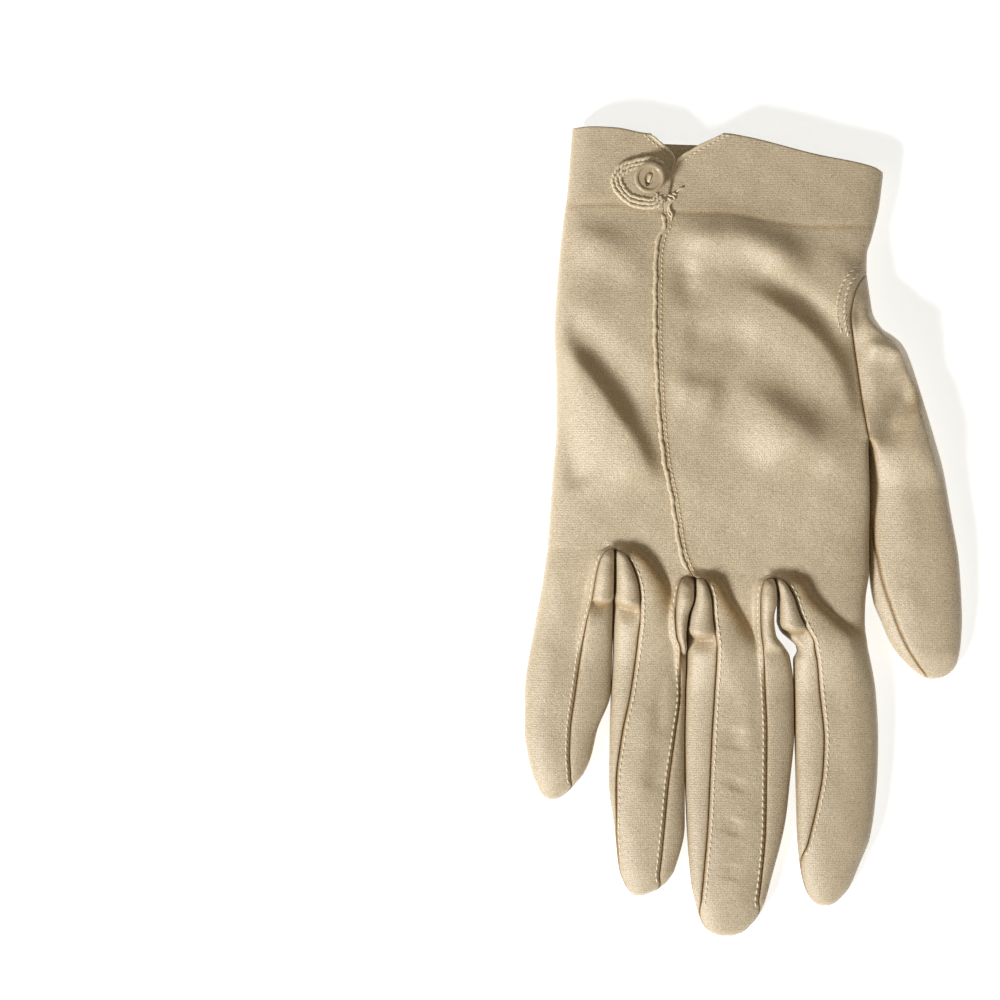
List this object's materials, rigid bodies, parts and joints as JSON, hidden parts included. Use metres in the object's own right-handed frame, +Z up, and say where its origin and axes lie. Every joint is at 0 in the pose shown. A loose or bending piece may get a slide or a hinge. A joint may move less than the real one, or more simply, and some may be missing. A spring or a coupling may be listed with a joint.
{
  "type": "fabric dress glove",
  "caption": "Short knitted-fabric dress glove for the right hand, lying palm down, with a seamed back, side strips between the fingers and a notched cuff closed by a button and loop tab",
  "frame": {"origin": "Middle of the glove's outline as it lies, on the surface under the palm", "axes": "+X to the thumb side, +Y from the fingertips to the cuff, +Z up out of the back of the hand"},
  "size_m": [0.1245, 0.2306, 0.0165],
  "materials": {
    "knit_fabric": "fine ribbed beige knit, matt with a faint sheen",
    "tab_fabric": "beige knit under chain stitching",
    "seam_thread": "pale cream twisted sewing thread",
    "button_shell": "pale beige, pearly and polished",
    "button_thread": "pale cream sewing thread"
  },
  "bodies": {
    "root": {"back_little_side": "knit_fabric", "back_index_side": "knit_fabric", "palm": "knit_fabric", "fourchette_little_inner": "knit_fabric", "fourchette_ring_outer": "knit_fabric", "fourchette_ring_inner": "knit_fabric", "fourchette_middle_outer": "knit_fabric", "fourchette_middle_inner": "knit_fabric", "fourchette_index_inner": "knit_fabric", "thumb_upper": "knit_fabric", "thumb_lower": "knit_fabric", "hem_little_side": "knit_fabric", "hem_index_side": "knit_fabric", "hem_palm": "knit_fabric", "button_tab": "tab_fabric", "centre_seam_welt": "seam_thread", "tab_ridge_outer": "seam_thread", "tab_ridge_middle": "seam_thread", "tab_ridge_inner": "seam_thread", "button": "button_shell", "button_thread": "button_thread"}
  },
  "joints": []
}
